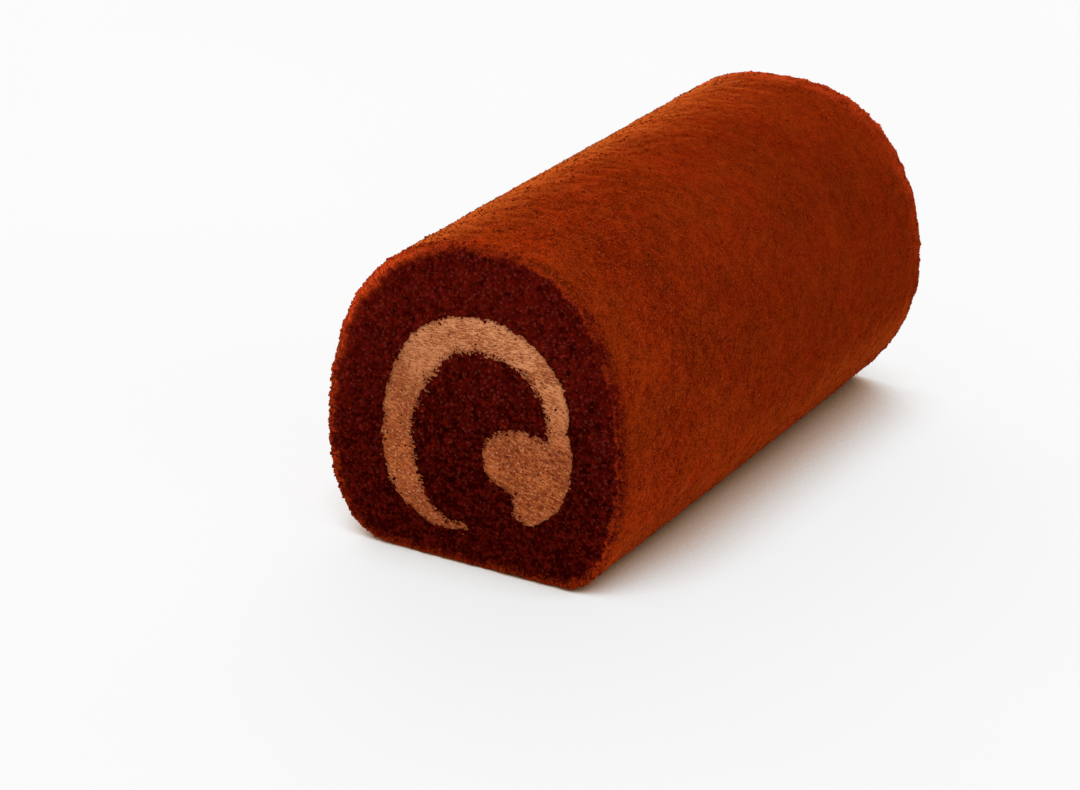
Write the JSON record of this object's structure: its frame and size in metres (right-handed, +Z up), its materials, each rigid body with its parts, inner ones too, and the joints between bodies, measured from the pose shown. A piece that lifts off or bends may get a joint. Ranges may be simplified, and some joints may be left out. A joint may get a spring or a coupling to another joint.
{
  "type": "chocolate swiss roll cake",
  "caption": "Rolled chocolate sponge with a spiral of tan whipped cream, cut square at both ends and resting on its flattened base.",
  "frame": {"origin": "middle of the footprint, on the plane that the roll rests on", "axes": "+Y along the roll from the freshly cut end to the far end, +Z up, +X to the right of someone facing the freshly cut end"},
  "size_m": [0.0915, 0.19, 0.0895],
  "materials": {
    "sponge": "matt chocolate sponge: velvety outside, dark open crumb where it is cut",
    "cream": "soft tan whipped cream, satin, with fine knife drags and crumb specks on the cut"
  },
  "bodies": {
    "root": {"sponge": "sponge", "cream": "cream"}
  },
  "joints": []
}
